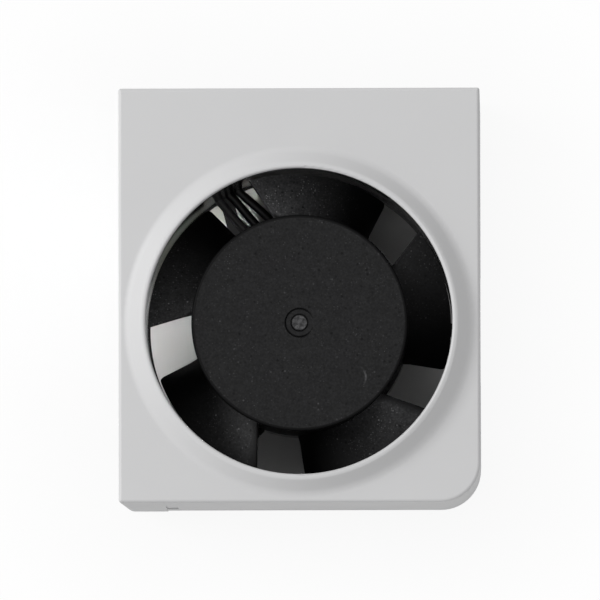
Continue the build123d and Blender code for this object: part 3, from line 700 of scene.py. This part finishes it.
# The film attribute mixes in dust grey: real dust on the hub face and blades, a painted highlight on the
# insert ring, and painted shade where it is zero.
def add_dust_and_painted_light(finish):
    patches = drift(finish, size=2.2 * MM, detail=5.0, span=(0.40, 0.66), result=(0.15, 1.0))
    veil = drift(finish, size=0.35 * MM, detail=3.0, span=(0.3, 0.7), result=(0.021, 0.051))
    clouds = drift(finish, size=1.5 * MM, detail=4.0, span=(0.3, 0.7), result=(0.84, 1.16))
    pits = speck_layer(finish, cell=0.8 * MM, radius=0.34, chance=0.5, strength=1.0)
    small = speck_layer(finish, cell=0.26 * MM, radius=0.42, chance=0.70, strength=0.34)
    large = speck_layer(finish, cell=0.7 * MM, radius=0.26, chance=0.80, strength=0.5)
    specks = math_step(finish, "ADD", small, large)
    specks = math_step(finish, "MULTIPLY", specks, patches)
    specks = math_step(finish, "MULTIPLY", specks, marked(finish, "specks"))
    dust_and_painted_light = math_step(finish, "MULTIPLY", veil, marked(finish, "dust_and_painted_light"))
    dust_and_painted_light = math_step(finish, "MULTIPLY", dust_and_painted_light, math_step(finish, "SUBTRACT", 1.0, pits))
    dust_and_painted_light = math_step(finish, "MULTIPLY", dust_and_painted_light, clouds)
    dust_and_light_mix = colour_mix(finish)
    dust_and_light_mix.inputs[MIX_SECOND].default_value = DUST_AND_HIGHLIGHT_GREY
    finish.node_tree.links.new(math_step(finish, "ADD", specks, dust_and_painted_light), dust_and_light_mix.inputs[MIX_SHARE])
    tie(finish.node_tree.nodes["mottle"], MIX_RESULT, dust_and_light_mix, MIX_FIRST)
    tie(dust_and_light_mix, MIX_RESULT, shader_of(finish), "Base Color")


def scale_blade_film_and_paint_edge_shade(mesh):
    dust_and_painted_light = mesh.attributes["dust_and_painted_light"].data
    specks = mesh.attributes["specks"].data
    for vert in mesh.vertices:
        if hypot(vert.co.x, vert.co.y - AXIS_Y) > HUB_RADIUS + 2 * HAIR:
            turn = atan2(vert.co.y - AXIS_Y, vert.co.x) - BLADE_MIDDLE
            blade = round(turn * BLADE_COUNT / (2 * pi)) % BLADE_COUNT
            # Painted shade near each blade's front edge, and a pale film share set per blade.
            behind_edge = (BLADE_FRONT - vert.co.z) / BLADE_SHADED_EDGE[blade]
            pale_share = BLADE_PALENESS[blade] * min(1.0, max(0.0, behind_edge - SHADED_EDGE_START))
            dust_and_painted_light[vert.index].value *= pale_share
            specks[vert.index].value *= pale_share


wheel_plastic = mottled(
    "black wheel plastic", WHEEL_BLACK, WHEEL_BLACK_DULL,
    WHEEL_MOTTLE, WHEEL_ROUGHNESS, specular=WHEEL_SPECULAR,
)
add_dust_and_painted_light(wheel_plastic)
add_grain(wheel_plastic, WHEEL_GRAIN, WHEEL_GRAIN_DEPTH)
hub_source = bpy.data.objects.new("hub_source", hub_mesh())
blade_source = bpy.data.objects.new("blade_source", blade_mesh())
for source in (hub_source, blade_source):
    bpy.context.scene.collection.objects.link(source)
wheel_values = {
    "Blade": blade_source,
    "Blade count": BLADE_COUNT,
    "Fan axis": (0.0, AXIS_Y, 0.0),
    "Finish": wheel_plastic,
}
wheel_mesh = grown(hub_source, blade_ring_tree(), wheel_values)
bpy.data.objects.remove(blade_source)
scale_blade_film_and_paint_edge_shade(wheel_mesh)
new_piece(wheel_mesh, "fan_wheel", wheel_plastic, "rotor", ["impeller"])

# Leads: three thin stranded wires in dark soft plastic jackets, led from the board over the air gap.
# They stand in the wiring bay in loose loops, so the plug can be drawn out and seated again.
LEAD_BLACK = (0.008, 0.008, 0.0085, 1.0)
LEAD_BLACK_DULL = (0.012, 0.012, 0.0125, 1.0)
LEAD_GREY = (0.11, 0.11, 0.111, 1.0)
LEAD_GREY_DULL = (0.09, 0.09, 0.091, 1.0)
LEAD_MOTTLE = 1.5 * MM
LEAD_ROUGHNESS = (0.32, 0.46)
LEAD_GRAIN = 0.12 * MM
LEAD_GRAIN_DEPTH = 0.002 * MM
LEAD_RUN = Vector((cos(radians(135.0)), sin(radians(135.0)), 0.0))
LEAD_SIDE = Vector((LEAD_RUN.y, -LEAD_RUN.x, 0.0))
LEAD_LOW = 8.0 * MM
LEAD_STEP = 0.4 * MM
NEAR_BEND = 15.5 * MM
NEAR_BEND_REACH = 6.0 * MM
FAR_BEND = 23.0 * MM
FAR_BEND_REACH = 5.0 * MM


def bend_share(along, middle, reach):
    share = (along - middle) / reach
    return (1 - share * share) ** 2 if abs(share) < 1 else 0.0


def bent_lead(node, near, far):
    mesh = merged_copy(node)
    work = bmesh.new()
    work.from_mesh(mesh)
    axis = Vector((0.0, AXIS_Y, 0.0))
    along = NEAR_BEND - NEAR_BEND_REACH
    while along < FAR_BEND + FAR_BEND_REACH:
        everything = work.verts[:] + work.edges[:] + work.faces[:]
        bmesh.ops.bisect_plane(work, geom=everything, plane_co=axis + LEAD_RUN * along, plane_no=LEAD_RUN)
        along += LEAD_STEP
    bmesh.ops.dissolve_degenerate(work, edges=work.edges, dist=NO_LENGTH)
    for vert in work.verts:
        if vert.co.z < LEAD_LOW:
            along = (vert.co - axis).dot(LEAD_RUN)
            shift = near * bend_share(along, NEAR_BEND, NEAR_BEND_REACH)
            shift += far * bend_share(along, FAR_BEND, FAR_BEND_REACH)
            vert.co += LEAD_SIDE * shift
    work.to_mesh(mesh)
    work.free()
    return mesh


for lead, first, second, near, far in (
    ("lead_positive", LEAD_GREY, LEAD_GREY_DULL, -0.12 * MM, 0.3 * MM),
    ("lead_negative", LEAD_BLACK, LEAD_BLACK_DULL, -0.4 * MM, 0.0),
    ("lead_signal", LEAD_BLACK, LEAD_BLACK_DULL, 0.3 * MM, 0.0),
):
    lead_jacket = mottled(lead + " jacket", first, second, LEAD_MOTTLE, LEAD_ROUGHNESS)
    add_grain(lead_jacket, LEAD_GRAIN, LEAD_GRAIN_DEPTH)
    new_piece(bent_lead(lead, near, far), lead + "_wire", lead_jacket, "cassette", [lead])

# Plug and its contacts: a natural nylon block with three tinned bronze sockets, crimped to the leads.
# It is pushed in between two cheeks of the housing and held by a lip on each.
NYLON = (0.74, 0.73, 0.68, 1.0)
NYLON_DEEP = (0.68, 0.66, 0.60, 1.0)
NYLON_MILKINESS = 0.1
NYLON_LIGHT_DEPTH = (0.8 * MM, 0.7 * MM, 0.5 * MM)
TIN = (0.60, 0.60, 0.58, 1.0)
TIN_DULL = (0.50, 0.50, 0.47, 1.0)


def paint_nodes(finish, *names):
    for name in names:
        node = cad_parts[name]
        if not node.material_slots:
            node.data.materials.append(finish)
        for slot in node.material_slots:
            slot.material = finish


plug_nylon = mottled("natural nylon", NYLON, NYLON_DEEP, patch=3.0 * MM, roughness=(0.36, 0.5))
shader_of(plug_nylon).inputs["Subsurface Weight"].default_value = NYLON_MILKINESS
shader_of(plug_nylon).inputs["Subsurface Radius"].default_value = NYLON_LIGHT_DEPTH
add_grain(plug_nylon, size=0.2 * MM, depth=0.004 * MM)
new_piece(merged_copy("plug_housing"), "plug_block", plug_nylon, "cassette", ["plug_housing"])
contact_tin = mottled("tinned bronze", TIN, TIN_DULL, patch=0.6 * MM, roughness=(0.24, 0.42), metallic=1.0)
paint_nodes(contact_tin, "plug_contacts")

# Motor inside the hub: steel yoke with a bonded magnet ring, shaft in two ball bearings, wound stator.
# Turned and pressed steel carries fine marks round the axis; the core is a stack of thin stampings.
STEEL = (0.56, 0.56, 0.57, 1.0)
STEEL_DARK = (0.44, 0.44, 0.455, 1.0)
SPRING = (0.30, 0.30, 0.31, 1.0)
SPRING_DARK = (0.24, 0.24, 0.25, 1.0)
ZINC = (0.42, 0.42, 0.43, 1.0)
ZINC_DARK = (0.36, 0.36, 0.38, 1.0)
STAMPING = (0.33, 0.33, 0.34, 1.0)
STAMPING_EDGE = (0.22, 0.21, 0.21, 1.0)
STEEL_MOTTLE = 1.2 * MM
STEEL_GRAIN = 0.08 * MM
STEEL_GRAIN_DEPTH = 0.001 * MM
ALONG_AXIS = (1.0, 1.0, 0.1)
LAYERED = (0.05, 0.05, 1.0)
FERRITE = (0.05, 0.05, 0.052, 1.0)
FERRITE_DARK = (0.035, 0.035, 0.037, 1.0)
COPPER = (0.48, 0.17, 0.06, 1.0)
COPPER_DARK = (0.36, 0.11, 0.035, 1.0)
INSULATOR = (0.62, 0.60, 0.52, 1.0)
INSULATOR_DEEP = (0.56, 0.53, 0.45, 1.0)


def steel(name, first, second, roughness, stretch=ALONG_AXIS):
    finish = mottled(name, first, second, STEEL_MOTTLE, roughness, metallic=1.0)
    add_grain(finish, STEEL_GRAIN, STEEL_GRAIN_DEPTH, stretch)
    return finish


bearing_steel = steel("polished bearing steel", STEEL, STEEL_DARK, roughness=(0.16, 0.26))
ground_steel = steel("ground shaft steel", STEEL, STEEL_DARK, roughness=(0.18, 0.3))
spring_steel = steel("dark spring steel", SPRING, SPRING_DARK, roughness=(0.3, 0.42))
yoke_steel = steel("zinc plated steel", ZINC, ZINC_DARK, roughness=(0.3, 0.45))
core_steel = steel("stacked stampings", STAMPING, STAMPING_EDGE, roughness=(0.35, 0.5), stretch=LAYERED)
for place in ("front", "rear"):
    paint_nodes(bearing_steel, place + "_bearing_outer_ring", place + "_bearing_inner_ring")
paint_nodes(ground_steel, "shaft")
paint_nodes(spring_steel, "retaining_ring", "preload_washer")
paint_nodes(yoke_steel, "rotor_yoke")
paint_nodes(core_steel, "stator_core")
magnet_ferrite = mottled("bonded ferrite", FERRITE, FERRITE_DARK, patch=0.8 * MM, roughness=(0.5, 0.7))
add_grain(magnet_ferrite, size=0.1 * MM, depth=0.004 * MM)
paint_nodes(magnet_ferrite, "rotor_magnet")
copper = mottled(
    "enamelled copper", COPPER, COPPER_DARK, patch=1.0 * MM, roughness=(0.22, 0.38), metallic=1.0,
)
add_grain(copper, size=0.25 * MM, depth=0.02 * MM, stretch=ALONG_AXIS)
paint_nodes(copper, "stator_windings")
insulator_nylon = mottled(
    "insulator nylon", INSULATOR, INSULATOR_DEEP, patch=2.0 * MM, roughness=(0.44, 0.56),
)
paint_nodes(insulator_nylon, "front_insulator", "rear_insulator")

# Circuit board under the stator: glass laminate with green solder resist, and three parts soldered to it.
# It rests on posts of the motor base, and the leads start from its rear face.
RESIST_GREEN = (0.03, 0.16, 0.07, 1.0)
RESIST_GREEN_DEEP = (0.022, 0.12, 0.05, 1.0)
EPOXY = (0.02, 0.02, 0.02, 1.0)
EPOXY_DULL = (0.028, 0.028, 0.028, 1.0)
CERAMIC = (0.40, 0.28, 0.17, 1.0)
CERAMIC_DARK = (0.34, 0.23, 0.13, 1.0)
board_laminate = mottled(
    "green solder resist", RESIST_GREEN, RESIST_GREEN_DEEP, patch=1.6 * MM, roughness=(0.25, 0.4),
)
add_grain(board_laminate, size=0.3 * MM, depth=0.004 * MM)
paint_nodes(board_laminate, "circuit_board")
chip_epoxy = mottled("moulded epoxy", EPOXY, EPOXY_DULL, patch=0.5 * MM, roughness=(0.5, 0.62))
paint_nodes(chip_epoxy, "hall_sensor", "drive_chip")
fired_ceramic = mottled("fired ceramic", CERAMIC, CERAMIC_DARK, patch=0.4 * MM, roughness=(0.42, 0.56))
paint_nodes(fired_ceramic, "capacitor")

# Floor: a plain pale studio sheet, laid just under the feet.
# It goes to white away from the object, keeps the object's shadow, and is left grey under the fan.
WHITE = (1.0, 1.0, 1.0, 1.0)
FLOOR_PALE = (0.55, 0.55, 0.55, 1.0)
FLOOR_ROUGHNESS = 0.9
FLOOR_SPECULAR = 0.1
FLOOR_HALF = 2.0
FLOOR_DROP = -0.02 * MM
FOOTPRINT_ROUND = 8.0 * MM
FADE_START = FOOTPRINT_ROUND - 1.6 * MM
FADE_END = FOOTPRINT_ROUND - 0.4 * MM
SHADOW_END = FOOTPRINT_ROUND + 22.0 * MM
WHITE_NEAR = 0.92
WHITE_FAR = 0.98


def vector_step(finish, operation, source, output, second=(0.0, 0.0, 0.0)):
    node = finish.node_tree.nodes.new("ShaderNodeVectorMath")
    node.operation = operation
    node.inputs[1].default_value = second
    tie(source, output, node, 0)
    return node


def floor_whiteness(finish):
    place = add_node(finish, "ShaderNodeTexCoord", {})
    mirrored = vector_step(finish, "ABSOLUTE", place, "Object")
    core = (cad_high[0] - FOOTPRINT_ROUND, cad_high[1] - FOOTPRINT_ROUND, 1.0)
    past_core = vector_step(finish, "SUBTRACT", mirrored, "Vector", core)
    beyond = vector_step(finish, "MAXIMUM", past_core, "Vector")
    reach = vector_step(finish, "LENGTH", beyond, "Vector")
    near = ranged(finish, reach, "Value", (FADE_START, FADE_END), (0.0, WHITE_NEAR))
    far = ranged(finish, reach, "Value", (FOOTPRINT_ROUND, SHADOW_END), (0.0, WHITE_FAR - WHITE_NEAR))
    fade = math_step(finish, "ADD", near.outputs["Result"], far.outputs["Result"])
    path = add_node(finish, "ShaderNodeLightPath", {})
    seen = math_step(finish, "MAXIMUM", path.outputs["Is Camera Ray"], path.outputs["Is Glossy Ray"])
    seen = math_step(finish, "MAXIMUM", seen, path.outputs["Is Transmission Ray"])
    return math_step(finish, "MULTIPLY", fade, seen)


floor_paint = new_finish("pale floor", FLOOR_PALE, FLOOR_ROUGHNESS, metallic=0.0, specular=FLOOR_SPECULAR)
glow = add_node(floor_paint, "ShaderNodeEmission", {"Color": WHITE, "Strength": 1.0})
sheet = add_node(floor_paint, "ShaderNodeMixShader", {})
floor_paint.node_tree.links.new(floor_whiteness(floor_paint), sheet.inputs["Fac"])
tie(shader_of(floor_paint), "BSDF", sheet, 1)
tie(glow, "Emission", sheet, 2)
tie(sheet, "Shader", floor_paint.node_tree.nodes["Material Output"], "Surface")
floor_mesh = bpy.data.meshes.new("studio_floor")
floor_signs = ((-1, -1), (1, -1), (1, 1), (-1, 1))
floor_corners = [(x * FLOOR_HALF, y * FLOOR_HALF, FLOOR_DROP) for x, y in floor_signs]
floor_mesh.from_pydata(floor_corners, [], [(0, 1, 2, 3)])
floor_mesh.materials.append(floor_paint)
studio_floor = bpy.data.objects.new("studio_floor", floor_mesh)
bpy.context.scene.collection.objects.link(studio_floor)

# Light: a large soft lamp at the upper left, and a plain pale surround for the rest.
# A small low lamp at the far left reaches in behind the fan, and lights the floor and the leads there only.
SURROUND_LEVEL = 0.63
KEY_PLACE = (-0.91, 0.28, 0.73)
KEY_AIM = (0.0, 0.0, 0.01)
KEY_SIZE = (0.5, 0.5)
KEY_POWER = 8.2
SIDE_PLACE = (-0.425, 0.115, 0.0522)
SIDE_AIM = (-0.013, 0.005, 0.0)
SIDE_SIZE = (0.010, 0.002)
SIDE_POWER = 0.016
SIDE_SPREAD = radians(7.0)


def soft_lamp(name, place, aim, size, power, spread=pi):
    light = bpy.data.lights.new(name, "AREA")
    light.shape = "RECTANGLE"
    light.size, light.size_y = size
    light.energy = power
    light.spread = spread
    lamp = bpy.data.objects.new(name, light)
    lamp.location = place
    lamp.rotation_euler = (Vector(aim) - Vector(place)).to_track_quat("-Z", "Y").to_euler()
    bpy.context.scene.collection.objects.link(lamp)
    return lamp


surround = bpy.data.worlds.new("pale surround")
surround.use_nodes = True
surround.node_tree.nodes["Background"].inputs["Color"].default_value = WHITE
surround.node_tree.nodes["Background"].inputs["Strength"].default_value = SURROUND_LEVEL
bpy.context.scene.world = surround
soft_lamp("key lamp", KEY_PLACE, KEY_AIM, KEY_SIZE, KEY_POWER)
side_lamp = soft_lamp("side lamp", SIDE_PLACE, SIDE_AIM, SIDE_SIZE, SIDE_POWER, SIDE_SPREAD)
behind_fan = bpy.data.collections.new("lit by the side lamp")
for shown in ("studio_floor", "lead_positive_wire", "lead_negative_wire", "lead_signal_wire"):
    behind_fan.objects.link(bpy.data.objects[shown])
side_lamp.light_linking.receiver_collection = behind_fan

# Camera: a long lens well above the face, leaning towards the bottom wall and a little to the right one.
# It is aimed near the middle of the face, and its field is the width of the picture at that height.
AIM = Vector((0.12 * MM, -0.78 * MM, FACE_HEIGHT))
DISTANCE = 2.0
LEAN_RIGHT = 0.0172
LEAN_DOWN = 0.0665
ROLL = radians(0.17)
FIELD = 89.6 * MM
SENSOR = 36.0
FAR_CLIP = 20.0
sight = Vector((LEAN_RIGHT, -LEAN_DOWN, 1.0)).normalized()
across = (Vector((1.0, 0.0, 0.0)) - sight * sight.x).normalized()
across = Matrix.Rotation(-ROLL, 3, sight) @ across
upward = sight.cross(across)
lens = bpy.data.cameras.new("camera")
lens.sensor_width = SENSOR
lens.lens = SENSOR * DISTANCE / FIELD
lens.clip_end = FAR_CLIP
camera = bpy.data.objects.new("camera", lens)
camera.location = AIM + sight * DISTANCE
camera.rotation_euler = Matrix((across, upward, sight)).transposed().to_euler()
bpy.context.scene.collection.objects.link(camera)
bpy.context.scene.camera = camera
bpy.context.scene.view_settings.view_transform = "Standard"
